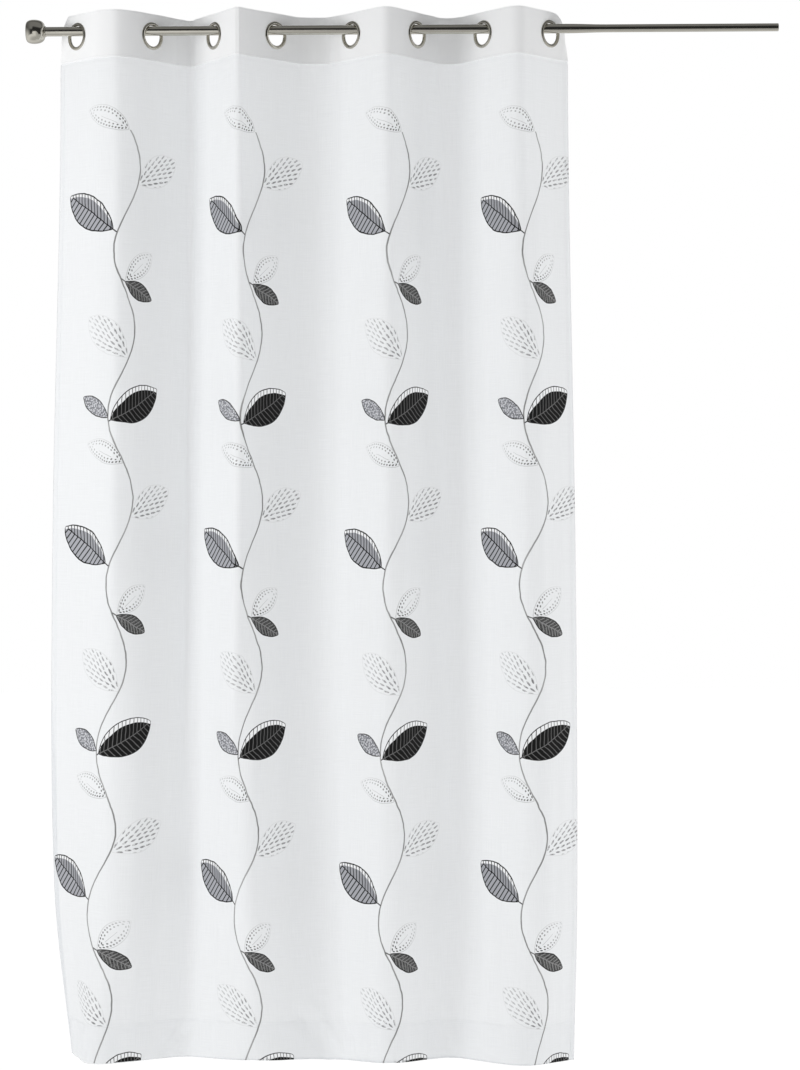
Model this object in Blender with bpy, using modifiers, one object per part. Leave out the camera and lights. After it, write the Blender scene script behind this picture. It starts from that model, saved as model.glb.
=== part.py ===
# Eyelet-top voile curtain hanging in folds on a plain round rod.
# Metres, +Z up, front towards -Y. The origin is on the rod's axis, half-way along it.
import math
from collections import namedtuple

import bmesh
import bpy
import numpy as np

MM = 0.001

# The cloth as it is cut and sewn
CLOTH_WIDTH = 1.400
CLOTH_DROP = 2.130
HEADING_HEIGHT = 0.095
SIDE_HEM = 0.015
FOOT_HEM = 0.080
VOILE_THICKNESS = 0.0013
HEM_THICKNESS = 0.0022
BAND_THICKNESS = 0.0024
SEAM_GAP = 0.0003

# The rod and its end knob
ROD_RADIUS = 0.0095
ROD_END_RADIUS = 0.0080
ROD_HALF_SPAN = 0.7633
TAPER_START = 0.337
TAPER_END = 0.414
ROUND_SIDES = 24
# The knob's outline: how far from its neck at the rod, and how wide there.
# A short neck, a shoulder, then a squat cushion that is widest at its middle.
KNOB_LENGTH = 0.0396
Ring = namedtuple("Ring", "depth radius")
KNOB_OUTLINE = (
    Ring(0.0000, 0.0110),
    Ring(0.0020, 0.0114),
    Ring(0.0030, 0.0146),
    Ring(0.0060, 0.0192),
    Ring(0.0105, 0.0220),
    Ring(0.0170, 0.0238),
    Ring(0.0250, 0.0243),
    Ring(0.0310, 0.0236),
    Ring(0.0355, 0.0222),
    Ring(0.0385, 0.0199),
    Ring(KNOB_LENGTH, 0.0172),
)

# The eyelets, pressed into the heading
EYELET_BORE_RADIUS = 0.0210
EYELET_RIM_RADIUS = 0.0280
EYELET_DEPTH = 0.0031
EYELET_CROWN = 0.0030
EYELET_EDGE_DROP = 0.0006
EYELET_EDGE_ROUND = 0.0012
BAND_HOLE_RADIUS = 0.0240
SEAT_GAP = 0.00105
EYELET_DROP = 0.045
END_MARGIN = 0.055
FLAT_HALF_WIDTH = 0.030

# Where each eyelet sits along the rod, and how far the cloth turns there
# from the rod's line as it passes through, in millimetres and degrees
Eyelet = namedtuple("Eyelet", "along turn")
EYELETS = (
    Eyelet(-660, 44),
    Eyelet(-507, 48),
    Eyelet(-381, 54),
    Eyelet(-256, 44),
    Eyelet(-102, 47),
    Eyelet(31, 52),
    Eyelet(165, 50),
    Eyelet(301, 47),
)

# The folds below the heading, from the left edge to the right one, at three heights.
# x is across, y is towards the back, flat is the place on the flat cloth, and
# soft is how far the fold's turn reaches to each side, all in millimetres.
Fold = namedtuple("Fold", "x y flat soft")
FOLDS_AT_MIDDLE = (
    Fold(-722, 58, 0, 0),
    Fold(-578, -66, 172, 55),
    Fold(-437, 62, 354, 14),
    Fold(-333, -70, 499, 24),
    Fold(-185, 66, 689, 66),
    Fold(-24, -84, 901, 45),
    Fold(109, 60, 1074, 40),
    Fold(255, -84, 1280, 55),
    Fold(349, 0, 1400, 0),
)
FOLDS_LOW = (
    Fold(-724, 84, 0, 0),
    Fold(-589, -66, 190, 66),
    Fold(-434, 50, 374, 16),
    Fold(-314, -80, 548, 34),
    Fold(-172, 56, 730, 62),
    Fold(-28, -76, 910, 48),
    Fold(119, 58, 1093, 42),
    Fold(268, -80, 1296, 58),
    Fold(351, 4, 1400, 0),
)
FOLDS_AT_FOOT = (
    Fold(-690, 92, 0, 0),
    Fold(-636, -62, 155, 60),
    Fold(-455, 62, 371, 26),
    Fold(-305, -48, 542, 56),
    Fold(-157, 62, 713, 56),
    Fold(-28, -68, 914, 50),
    Fold(92, 56, 1064, 42),
    Fold(241, -72, 1243, 58),
    Fold(344, 26, 1400, 0),
)
# How far each of those folds is drawn up at the bottom edge, in millimetres
FOOT_RISE = (0, 3, 0, 10, -4, 8, 0, 3, 0)

MIDDLE_DROP = 1.08
LOW_DROP = 1.78
FOOT_RISE_POWER = 3

# The free top corners curl away behind the end eyelets
CURL_START = (0.044, 0.038)
CURL_RADIUS = 0.018
CURL_FADE = 0.050
CURL_MOST = math.radians(108)

# How finely the sheet is divided
STEPS_PER_FOLD = 11
FOLD_CROWDING = 0.45
MARGIN_STEPS = (0.0, SIDE_HEM, 0.027, 0.041)
BAND_ROWS = (0.0, 0.009, 0.019, 0.031, 0.045, 0.070, HEADING_HEIGHT)
VOILE_ROWS = (HEADING_HEIGHT + SEAM_GAP, 0.17, 0.26, 0.38, 0.52, 0.68, 0.86, 1.04,
              1.22, 1.40, 1.58, 1.74, 1.88, 1.98, CLOTH_DROP - FOOT_HEM, CLOTH_DROP)
TRACE_STEP = 0.0005
ARC_POINTS = 12
LEAST_SOFT = 0.008
MOST_REACH_SHARE = 0.45

EYELET_COUNT = len(EYELETS)
PITCH = (CLOTH_WIDTH - 2 * END_MARGIN) / (EYELET_COUNT - 1)
EYELET_HEIGHT = ROD_RADIUS + SEAT_GAP - EYELET_BORE_RADIUS
CLOTH_TOP = EYELET_HEIGHT + EYELET_DROP


def leg_direction(index):
    # The cloth comes forward through the first eyelet, goes back through the next
    turn = math.radians(EYELETS[index].turn)
    side = -1 if index % 2 == 0 else 1
    return np.array((math.cos(turn), side * math.sin(turn)))


def eyelet_point(index):
    return np.array((EYELETS[index].along * MM, 0.0))


def cross(a, b):
    return a[0] * b[1] - a[1] * b[0]


def heading_corners():
    # Corners where the straight legs through neighbouring eyelets meet, with how
    # much of each corner is rounded so that every fold takes one pitch of cloth
    first = eyelet_point(0) - END_MARGIN * leg_direction(0)
    last = eyelet_point(EYELET_COUNT - 1) + END_MARGIN * leg_direction(EYELET_COUNT - 1)
    corners = [first]
    softs = []
    for index in range(EYELET_COUNT - 1):
        here, there = eyelet_point(index), eyelet_point(index + 1)
        out, back = leg_direction(index), leg_direction(index + 1)
        span = there - here
        out_length = cross(span, back) / cross(out, back)
        back_length = cross(out, span) / cross(out, back)
        turn = math.radians(EYELETS[index].turn + EYELETS[index + 1].turn)
        saved_per_length = 2 - turn / math.tan(turn / 2)
        soft = (out_length + back_length - PITCH) / saved_per_length
        most = min(out_length, back_length) - FLAT_HALF_WIDTH
        corners.append(here + out * out_length)
        softs.append(min(max(soft, LEAST_SOFT), most))
    corners.append(last)
    return corners, softs


def trace(corners, softs):
    # A closely spaced line through the corners, each rounded by a quadratic arc
    points = [corners[0]]
    for before, corner, after, soft in zip(corners, corners[1:], corners[2:], softs):
        into = before - corner
        away = after - corner
        into_length = np.linalg.norm(into)
        away_length = np.linalg.norm(away)
        reach = min(soft, MOST_REACH_SHARE * into_length, MOST_REACH_SHARE * away_length)
        start = corner + into / into_length * reach
        end = corner + away / away_length * reach
        for step in range(ARC_POINTS + 1):
            t = step / ARC_POINTS
            points.append((1 - t) ** 2 * start + 2 * t * (1 - t) * corner + t ** 2 * end)
    points.append(corners[-1])
    points = np.array(points)
    lengths = np.concatenate(((0,), np.cumsum(np.linalg.norm(np.diff(points, axis=0), axis=1))))
    fine = np.arange(0, lengths[-1], TRACE_STEP)
    line = np.stack((np.interp(fine, lengths, points[:, 0]),
                     np.interp(fine, lengths, points[:, 1])), axis=1)
    return fine, line


def length_near(fine, line, point):
    return fine[np.argmin(np.linalg.norm(line - point, axis=1))]


def section(corners, softs, anchors, flats, places):
    # Where each place on the flat cloth comes to lie, seen from above
    fine, line = trace(corners, softs)
    lengths = [length_near(fine, line, anchor) for anchor in anchors]
    lengths[0], lengths[-1] = 0.0, fine[-1]
    along = np.interp(places, flats, lengths)
    return np.stack((np.interp(along, fine, line[:, 0]),
                     np.interp(along, fine, line[:, 1])), axis=1)


def heading_section(places):
    corners, softs = heading_corners()
    anchors = [corners[0]] + [eyelet_point(i) for i in range(EYELET_COUNT)] + [corners[-1]]
    flats = [0.0] + [END_MARGIN + i * PITCH for i in range(EYELET_COUNT)] + [CLOTH_WIDTH]
    return section(corners, softs, anchors, flats, places)


def fold_section(folds, places):
    corners = [np.array((fold.x, fold.y)) * MM for fold in folds]
    softs = [fold.soft * MM for fold in folds[1:-1]]
    flats = [fold.flat * MM for fold in folds]
    return section(corners, softs, corners, flats, places)


def cloth_levels(places):
    drops = (HEADING_HEIGHT, MIDDLE_DROP, LOW_DROP, CLOTH_DROP)
    sections = (heading_section(places), fold_section(FOLDS_AT_MIDDLE, places),
                fold_section(FOLDS_LOW, places), fold_section(FOLDS_AT_FOOT, places))
    slopes = [np.zeros_like(sections[0])]
    for k in (1, 2):
        slopes.append((sections[k + 1] - sections[k - 1]) / (drops[k + 1] - drops[k - 1]))
    slopes.append((sections[3] - sections[2]) / (drops[3] - drops[2]))
    return drops, sections, slopes


def section_at(drop, levels):
    # A smooth curve down the cloth through the four sections
    drops, sections, slopes = levels
    if drop <= drops[0]:
        return sections[0]
    k = max(i for i in range(3) if drop >= drops[i] or i == 0)
    gap = drops[k + 1] - drops[k]
    t = (drop - drops[k]) / gap
    return ((2 * t ** 3 - 3 * t ** 2 + 1) * sections[k] + (t ** 3 - 2 * t ** 2 + t) * gap * slopes[k]
            + (3 * t ** 2 - 2 * t ** 3) * sections[k + 1] + (t ** 3 - t ** 2) * gap * slopes[k + 1])


def curled(place, drop, point):
    # The loose corner past an end eyelet bends back round it
    left = place < CLOTH_WIDTH / 2
    index = 0 if left else EYELET_COUNT - 1
    beyond = END_MARGIN - place if left else place - (CLOTH_WIDTH - END_MARGIN)
    above = EYELET_DROP - drop
    if beyond <= 0 or above < -CURL_FADE:
        return point[0], point[1], CLOTH_TOP - drop
    reach = math.hypot(beyond, max(above, 0))
    extra = reach - CURL_START[0 if left else 1]
    if extra <= 0:
        return point[0], point[1], CLOTH_TOP - drop
    strength = min(1.0, 1 + above / CURL_FADE)
    angle = min(extra / CURL_RADIUS, CURL_MOST)
    bent = CURL_RADIUS * math.sin(angle)
    back = CURL_RADIUS * (1 - math.cos(angle)) * strength
    shrink = 1 - strength * (extra - bent) / reach
    outward = leg_direction(index) * (-1 if left else 1)
    behind = np.array((-outward[1], outward[0])) * (-1 if left else 1)
    foot = eyelet_point(index) + outward * beyond * shrink + behind * back
    return foot[0], foot[1], EYELET_HEIGHT + (above * shrink if above > 0 else above)


def column_places():
    places = list(MARGIN_STEPS)
    for fold in range(EYELET_COUNT - 1):
        for step in range(STEPS_PER_FOLD):
            u = step / STEPS_PER_FOLD
            spread = u + FOLD_CROWDING * math.sin(2 * math.pi * u) / (2 * math.pi)
            places.append(END_MARGIN + (fold + spread) * PITCH)
    places.append(CLOTH_WIDTH - END_MARGIN)
    places += [CLOTH_WIDTH - step for step in reversed(MARGIN_STEPS)]
    return places


def new_collection(name):
    collection = bpy.data.collections.new(name)
    bpy.context.scene.collection.children.link(collection)
    return collection


def new_material(name, colour, roughness, metallic=0.0, alpha=1.0):
    material = bpy.data.materials.new(name)
    material.use_nodes = True
    shader = material.node_tree.nodes["Principled BSDF"]
    shader.inputs["Base Color"].default_value = (*colour, 1.0)
    shader.inputs["Roughness"].default_value = roughness
    shader.inputs["Metallic"].default_value = metallic
    shader.inputs["Alpha"].default_value = alpha
    return material


def new_object(name, mesh, material, collection):
    piece = bpy.data.objects.new(name, mesh)
    collection.objects.link(piece)
    if material is not None:
        mesh.materials.clear()
        mesh.materials.append(material)
    return piece


def cloth_sheet(name, rows, material, collection, thickness, thin_share):
    # A grid whose points are carried from the flat cloth to where they hang
    places = column_places()
    levels = cloth_levels(places)
    rises = np.interp(places, [fold.flat * MM for fold in FOLDS_AT_FOOT], FOOT_RISE) * MM
    grid = bmesh.new()
    bmesh.ops.create_grid(grid, x_segments=len(places) - 1, y_segments=len(rows) - 1, size=0.5)
    hems = []
    for vertex in grid.verts:
        column = round((vertex.co.x + 0.5) * (len(places) - 1))
        row = round((vertex.co.y + 0.5) * (len(rows) - 1))
        place, drop = places[column], rows[row]
        x, y, z = curled(place, drop, section_at(drop, levels)[column])
        z += rises[column] * (drop / CLOTH_DROP) ** FOOT_RISE_POWER
        vertex.co = (x, y, z)
        in_side_hem = min(place, CLOTH_WIDTH - place) <= SIDE_HEM
        hems.append(in_side_hem or drop >= CLOTH_DROP - FOOT_HEM)
    mesh = bpy.data.meshes.new(name)
    grid.to_mesh(mesh)
    grid.free()
    mesh.shade_smooth()
    sheet = new_object(name, mesh, material, collection)
    group = sheet.vertex_groups.new(name="hems")
    group.add([i for i, in_hem in enumerate(hems) if in_hem], 1.0, "REPLACE")
    solid = sheet.modifiers.new("thickness", "SOLIDIFY")
    solid.thickness = thickness
    solid.offset = 0.0
    solid.use_even_offset = True
    solid.vertex_group = group.name
    solid.thickness_vertex_group = thin_share
    return sheet


def turned(name, profile, material, collection):
    # profile: (height, radius) from the top, down the outside, to the bottom
    mesh = bpy.data.meshes.new(name)
    points = [(radius, 0.0, height) for height, radius in profile]
    mesh.from_pydata(points, [(i, i + 1) for i in range(len(points) - 1)], [])
    piece = new_object(name, mesh, material, collection)
    add_screw(piece)
    return piece


def add_screw(piece):
    screw = piece.modifiers.new("turn", "SCREW")
    screw.steps = ROUND_SIDES
    screw.render_steps = ROUND_SIDES
    screw.use_merge_vertices = True
    screw.merge_threshold = 0.00001
    screw.use_smooth_shade = True


def lay_along_rod(piece):
    piece.rotation_euler = (0.0, math.pi / 2, 0.0)


def face_cloth(piece, index):
    # Local Z becomes the line square to the cloth at that eyelet
    turn = math.radians(EYELETS[index].turn)
    piece.rotation_euler = (math.pi / 2, 0.0, -turn if index % 2 == 0 else turn)
    piece.location = (EYELETS[index].along * MM, 0.0, EYELET_HEIGHT)


def make_rod(metal, collection):
    knob_face = -ROD_HALF_SPAN + KNOB_LENGTH + SEAM_GAP
    profile = (
        (ROD_HALF_SPAN, 0.0),
        (ROD_HALF_SPAN, ROD_END_RADIUS),
        (TAPER_END, ROD_END_RADIUS),
        (TAPER_START, ROD_RADIUS),
        (knob_face, ROD_RADIUS),
        (knob_face, 0.0),
    )
    lay_along_rod(turned("rod", profile, metal, collection))


def make_knob(metal, collection):
    neck_face = KNOB_LENGTH - ROD_HALF_SPAN
    profile = [(neck_face, 0.0)]
    profile += [(neck_face - ring.depth, ring.radius) for ring in KNOB_OUTLINE]
    profile += [(-ROD_HALF_SPAN, 0.0)]
    lay_along_rod(turned("end_knob", profile, metal, collection))


def make_eyelets(metal, collection):
    # One ring holds the band's edge in its groove; its rim is rolled over on both faces
    groove = BAND_THICKNESS / 2 + SEAM_GAP
    half = (
        (EYELET_DEPTH - EYELET_EDGE_DROP, EYELET_BORE_RADIUS + EYELET_EDGE_ROUND),
        (EYELET_DEPTH, EYELET_BORE_RADIUS + EYELET_CROWN),
        (EYELET_DEPTH - EYELET_EDGE_DROP, EYELET_RIM_RADIUS - EYELET_EDGE_ROUND),
        (groove, EYELET_RIM_RADIUS),
        (groove, BAND_HOLE_RADIUS - SEAM_GAP),
    )
    outline = list(half)
    outline += [(-height, radius) for height, radius in reversed(half)]
    outline += [(-groove, EYELET_BORE_RADIUS), (groove, EYELET_BORE_RADIUS)]
    mesh = bpy.data.meshes.new("eyelet")
    points = [(radius, 0.0, height) for height, radius in outline]
    mesh.from_pydata(points, [(i, (i + 1) % len(points)) for i in range(len(points))], [])
    for index in range(EYELET_COUNT):
        piece = new_object("eyelet_%d" % (index + 1), mesh, metal, collection)
        add_screw(piece)
        face_cloth(piece, index)


def cut_eyelet_holes(band, cutters):
    for index in range(EYELET_COUNT):
        bpy.ops.mesh.primitive_cylinder_add(vertices=ROUND_SIDES, radius=BAND_HOLE_RADIUS,
                                            depth=5 * BAND_THICKNESS)
        cutter = bpy.context.object
        cutter.name = "hole_%d" % (index + 1)
        for home in list(cutter.users_collection):
            home.objects.unlink(cutter)
        cutters.objects.link(cutter)
        face_cloth(cutter, index)
        cutter.hide_render = True
        cutter.display_type = "WIRE"
        hole = band.modifiers.new(cutter.name, "BOOLEAN")
        hole.operation = "DIFFERENCE"
        hole.solver = "EXACT"
        hole.object = cutter


def build():
    for old in list(bpy.data.objects):
        bpy.data.objects.remove(old)
    curtain = new_collection("voile_curtain_on_rod")
    cutters = new_collection("cutters")
    voile = new_material("white_voile", (0.86, 0.87, 0.88), 0.85, alpha=0.9)
    band_cloth = new_material("white_heading_cloth", (0.90, 0.90, 0.91), 0.80)
    nickel = new_material("satin_nickel", (0.52, 0.50, 0.46), 0.28, metallic=1.0)
    cloth_sheet("voile_panel", VOILE_ROWS, voile, curtain, HEM_THICKNESS,
                VOILE_THICKNESS / HEM_THICKNESS)
    band = cloth_sheet("heading_band", BAND_ROWS, band_cloth, curtain, BAND_THICKNESS, 1.0)
    cut_eyelet_holes(band, cutters)
    make_eyelets(nickel, curtain)
    make_rod(nickel, curtain)
    make_knob(nickel, curtain)


build()
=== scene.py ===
# A sheer voile curtain with a leaf vine print, hanging from metal eyelets on a slim rod.
# Everything is in metres, with +Z up and the front towards -Y.
import math

import bmesh
import bpy
import numpy as np
from mathutils import Matrix, Vector


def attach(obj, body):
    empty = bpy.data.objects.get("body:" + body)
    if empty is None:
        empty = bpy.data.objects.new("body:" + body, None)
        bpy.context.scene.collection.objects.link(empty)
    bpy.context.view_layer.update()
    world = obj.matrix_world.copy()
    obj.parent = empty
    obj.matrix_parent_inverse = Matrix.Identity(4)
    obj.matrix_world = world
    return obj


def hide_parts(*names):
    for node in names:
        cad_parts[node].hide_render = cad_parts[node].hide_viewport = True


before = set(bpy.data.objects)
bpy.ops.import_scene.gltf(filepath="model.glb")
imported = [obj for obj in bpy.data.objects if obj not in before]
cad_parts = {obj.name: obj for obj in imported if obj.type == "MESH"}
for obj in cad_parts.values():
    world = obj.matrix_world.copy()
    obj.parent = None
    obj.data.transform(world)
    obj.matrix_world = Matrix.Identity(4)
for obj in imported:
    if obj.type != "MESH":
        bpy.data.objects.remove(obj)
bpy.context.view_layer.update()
print("frame loaded:", len(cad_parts), "nodes")

mm = 0.001


# shader maths

class Tone:
    # one value in a material: a socket that sums can be written with
    def __init__(self, tree, socket=None):
        self.tree = tree
        self.socket = socket

    def node(self, kind, settings=None, sockets=None, out=0):
        made = self.tree.nodes.new("ShaderNode" + kind)
        for name, value in (settings or {}).items():
            setattr(made, name, value)
        for name, value in (sockets or {}).items():
            if isinstance(value, Tone):
                self.tree.links.new(value.socket, made.inputs[name])
            else:
                made.inputs[name].default_value = value
        return Tone(self.tree, made.outputs[out] if made.outputs else None)

    def maths(self, operation, *others, clamp=False):
        values = dict(enumerate((self, *others)))
        return self.node("Math", {"operation": operation, "use_clamp": clamp}, values)

    def __add__(self, other):
        return self.maths("ADD", other)

    __radd__ = __add__

    def __sub__(self, other):
        return self.maths("SUBTRACT", other)

    def __rsub__(self, other):
        return self.node("Math", {"operation": "SUBTRACT"}, {0: other, 1: self})

    def __mul__(self, other):
        return self.maths("MULTIPLY", other)

    __rmul__ = __mul__

    def __truediv__(self, other):
        return self.maths("DIVIDE", other)

    def __pow__(self, other):
        return self.maths("POWER", other)

    def __mod__(self, other):
        return self.maths("FLOORED_MODULO", other)

    def __abs__(self):
        return self.maths("ABSOLUTE")

    def __gt__(self, other):
        return self.maths("GREATER_THAN", other)

    def least(self, other):
        return self.maths("MINIMUM", other)

    def most(self, other):
        return self.maths("MAXIMUM", other)

    def root(self):
        return self.maths("SQRT")

    def sine(self):
        return self.maths("SINE")

    def floor(self):
        return self.maths("FLOOR")

    def held(self):  # kept between 0 and 1
        return self.maths("ADD", 0, clamp=True)

    def scaled(self, slope, start, clamp=False):  # the value times slope, plus start, as one node
        return self.maths("MULTIPLY_ADD", slope, start, clamp=clamp)

    def inside(self, blur):  # 1 where the value is over 0, with a soft edge
        return self.scaled(1 / blur, 0.5, clamp=True)

    def dot(self, other):
        return self.node("VectorMath", {"operation": "DOT_PRODUCT"}, {0: self, 1: other}, out=1)

    def between(self, one, other):  # from one colour at 0 to the other at 1
        return self.node("Mix", {"data_type": "RGBA"}, {0: self, 6: one, 7: other}, out=2)

    def part(self, axis):
        return self.node("SeparateXYZ", None, {0: self}, out=axis)

    def noise(self, scale, detail, dimensions="2D", twist=0.0):  # at the place that self holds
        return self.node("TexNoise", {"noise_dimensions": dimensions},
                         {"Vector": self, "Scale": scale, "Detail": detail, "Distortion": twist})


def newFinish(name):
    finish = bpy.data.materials.new(name)
    finish.use_nodes = True
    finish.node_tree.nodes.clear()
    return finish, Tone(finish.node_tree)


def finishSurface(start, shader):
    start.node("OutputMaterial", None, {"Surface": shader})


def shade(colour, times=1.0):
    return (*[min(part * times, 1) for part in colour], 1)


def ink(grey, blue=0.0):
    # a printed grey from its brightness on a screen, 0 to 255
    value = grey / 255
    linear = value / 12.92 if value <= 0.04045 else ((value + 0.055) / 1.055) ** 2.4
    return (linear, linear * (1 + blue * 0.2), linear * (1 + blue))


# how the cloth hangs

cloth = {
    "width": 1.400,
    "drop": 2.130,
    "headingHeight": 0.095,
    "sideHem": 0.015,
    "footHem": 0.080,
    "columnStep": 0.0046,
    "rowStep": 0.0100,
    "hemGap": 0.0008,  # how far behind the front layer a hem lies
    "tuckUp": 0.010,  # how far the voile goes up behind the heading
    "tuckBack": 0.0009,  # and how far back it bends there
    "tuckBends": (0.008, 0.006),  # from how far below the heading, and over what height
    "hemTurns": 0.003,  # over what length a hem turns back on itself
    "bandThick": 0.0010,
    "sideSteps": (0.0015, 0.003, 0.006, 0.010),
    "footSteps": (0.0015, 0.003, 0.006, 0.012, 0.020, 0.030, 0.040, 0.050, 0.060, 0.070),
}

rod = {
    "radius": 0.0095,
    "endRadius": 0.0080,
    "halfSpan": 0.7633,
    "taperStart": 0.337,
    "taperEnd": 0.414,
    "chamfer": 0.0006,
    "sides": 96,
}

eyelet = {
    "bore": 0.0210,
    "rim": 0.0280,
    "depth": 0.0031,
    "bandHole": 0.0240,
    "seatGap": 0.00105,
    "drop": 0.045,
    "margin": 0.055,
    "flat": 0.030,
    "rollOut": 0.0032,
    "rollIn": 0.0026,
    "lip": 0.0007,
    "calm": (30, 18),  # in mm: how far round it creases are held off, and how soon they start
    "sides": 96,
}

# where each eyelet sits along the rod in mm, and how far the cloth turns there in degrees
eyelets = [
    {"along": -660, "turn": 44},
    {"along": -507, "turn": 48},
    {"along": -381, "turn": 54},
    {"along": -256, "turn": 44},
    {"along": -102, "turn": 47},
    {"along": 31, "turn": 52},
    {"along": 165, "turn": 50},
    {"along": 301, "turn": 47},
]

# each fold from left to right, at three heights, in mm: where it turns (x across, y to the
# back), which place of the flat cloth lies there, and how far its turn is rounded
foldColumns = ("x", "y", "flat", "soft")
foldsAtMiddle = [dict(zip(foldColumns, row)) for row in (
    (-722, 58, 0, 0),
    (-578, -66, 172, 55),
    (-437, 62, 354, 14),
    (-333, -70, 499, 24),
    (-185, 66, 689, 66),
    (-24, -84, 901, 45),
    (109, 60, 1074, 40),
    (255, -84, 1280, 55),
    (349, 0, 1400, 0),
)]
foldsLow = [dict(zip(foldColumns, row)) for row in (
    (-724, 84, 0, 0),
    (-589, -66, 190, 66),
    (-434, 50, 374, 16),
    (-314, -80, 548, 34),
    (-172, 56, 730, 62),
    (-28, -76, 910, 48),
    (119, 58, 1093, 42),
    (268, -80, 1296, 58),
    (351, 4, 1400, 0),
)]
foldsAtFoot = [dict(zip(foldColumns, row)) for row in (
    (-690, 92, 0, 0),
    (-636, -62, 155, 60),
    (-455, 62, 371, 26),
    (-305, -48, 542, 56),
    (-157, 62, 713, 56),
    (-28, -68, 914, 50),
    (92, 56, 1064, 42),
    (241, -72, 1243, 58),
    (344, 26, 1400, 0),
)]
footRise = (0, 3, 0, 10, -4, 8, 0, 3, 0)  # how far each fold is drawn up at the foot, in mm
foldDrops = (cloth["headingHeight"], 1.08, 1.78, cloth["drop"])

curl = {"start": (0.044, 0.038), "radius": 0.018, "fade": 0.050, "most": math.radians(108)}
leastSoft = 0.008
mostReach = 0.45

pitch = (cloth["width"] - 2 * eyelet["margin"]) / (len(eyelets) - 1)
eyeletHeight = rod["radius"] + eyelet["seatGap"] - eyelet["bore"]
clothTop = eyeletHeight + eyelet["drop"]


def legWay(index):
    turn = math.radians(eyelets[index]["turn"])
    return np.array((math.cos(turn), math.sin(turn) * (-1 if index % 2 == 0 else 1)))


def eyeletSpot(index):
    return np.array((eyelets[index]["along"] * mm, 0.0))


def cross2(a, b):
    return a[0] * b[1] - a[1] * b[0]


def headingTurns():
    last = len(eyelets) - 1
    turns = [eyeletSpot(0) - eyelet["margin"] * legWay(0)]
    softs = []
    for index in range(last):
        here, there = eyeletSpot(index), eyeletSpot(index + 1)
        out, back = legWay(index), legWay(index + 1)
        span = there - here
        outLength = cross2(span, back) / cross2(out, back)
        backLength = cross2(out, span) / cross2(out, back)
        turn = math.radians(eyelets[index]["turn"] + eyelets[index + 1]["turn"])
        soft = (outLength + backLength - pitch) / (2 - turn / math.tan(turn / 2))
        turns.append(here + out * outLength)
        softs.append(min(max(soft, leastSoft), min(outLength, backLength) - eyelet["flat"]))
    turns.append(eyeletSpot(last) + eyelet["margin"] * legWay(last))
    return turns, softs


def traceTurns(turns, softs):
    points = [turns[0]]
    share = np.linspace(0, 1, 25)[:, None]
    for before, turn, after, soft in zip(turns, turns[1:], turns[2:], softs):
        into, away = before - turn, after - turn
        intoLength, awayLength = np.linalg.norm(into), np.linalg.norm(away)
        reach = min(soft, mostReach * intoLength, mostReach * awayLength)
        start = turn + into / intoLength * reach
        end = turn + away / awayLength * reach
        points.extend((1 - share) ** 2 * start + 2 * share * (1 - share) * turn + share ** 2 * end)
    points = np.array(points + [turns[-1]])
    steps = np.linalg.norm(np.diff(points, axis=0), axis=1)
    lengths = np.concatenate(((0,), np.cumsum(steps)))
    fine = np.arange(0, lengths[-1], 0.0005)
    line = np.stack([np.interp(fine, lengths, points[:, k]) for k in (0, 1)], axis=1)
    return fine, line


def sectionOf(turns, softs, anchors, flats, places):
    fine, line = traceTurns(turns, softs)
    marks = [fine[np.argmin(np.linalg.norm(line - anchor, axis=1))] for anchor in anchors]
    marks[0], marks[-1] = 0.0, fine[-1]
    along = np.interp(places, flats, marks)
    return np.stack([np.interp(along, fine, line[:, k]) for k in (0, 1)], axis=1)


def headingSection(places):
    turns, softs = headingTurns()
    count = len(eyelets)
    anchors = [turns[0]] + [eyeletSpot(i) for i in range(count)] + [turns[-1]]
    flats = [0.0] + [eyelet["margin"] + i * pitch for i in range(count)] + [cloth["width"]]
    return sectionOf(turns, softs, anchors, flats, places)


def foldSection(folds, places):
    turns = [np.array((fold["x"], fold["y"])) * mm for fold in folds]
    softs = [fold["soft"] * mm for fold in folds[1:-1]]
    return sectionOf(turns, softs, turns, [fold["flat"] * mm for fold in folds], places)


def curlCorners(points, places, drops):
    # the free corners past the end eyelets bend back round them
    for row, drop in enumerate(drops):
        above = eyelet["drop"] - drop
        if above < -curl["fade"]:
            continue
        for column, place in enumerate(places):
            left = place < cloth["width"] / 2
            beyond = eyelet["margin"] - min(place, cloth["width"] - place)
            if beyond <= 0:
                continue
            reach = math.hypot(beyond, max(above, 0))
            extra = reach - curl["start"][0 if left else 1]
            if extra <= 0:
                continue
            side = -1 if left else 1
            index = 0 if left else len(eyelets) - 1
            strength = min(1.0, 1 + above / curl["fade"])
            angle = min(extra / curl["radius"], curl["most"])
            back = curl["radius"] * (1 - math.cos(angle)) * strength
            shrink = 1 - strength * (extra - curl["radius"] * math.sin(angle)) / reach
            outward = legWay(index) * side
            behind = np.array((-outward[1], outward[0])) * side
            foot = eyeletSpot(index) + outward * beyond * shrink + behind * back
            height = eyeletHeight + (above * shrink if above > 0 else above)
            points[row, column] = (foot[0], foot[1], height)


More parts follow.
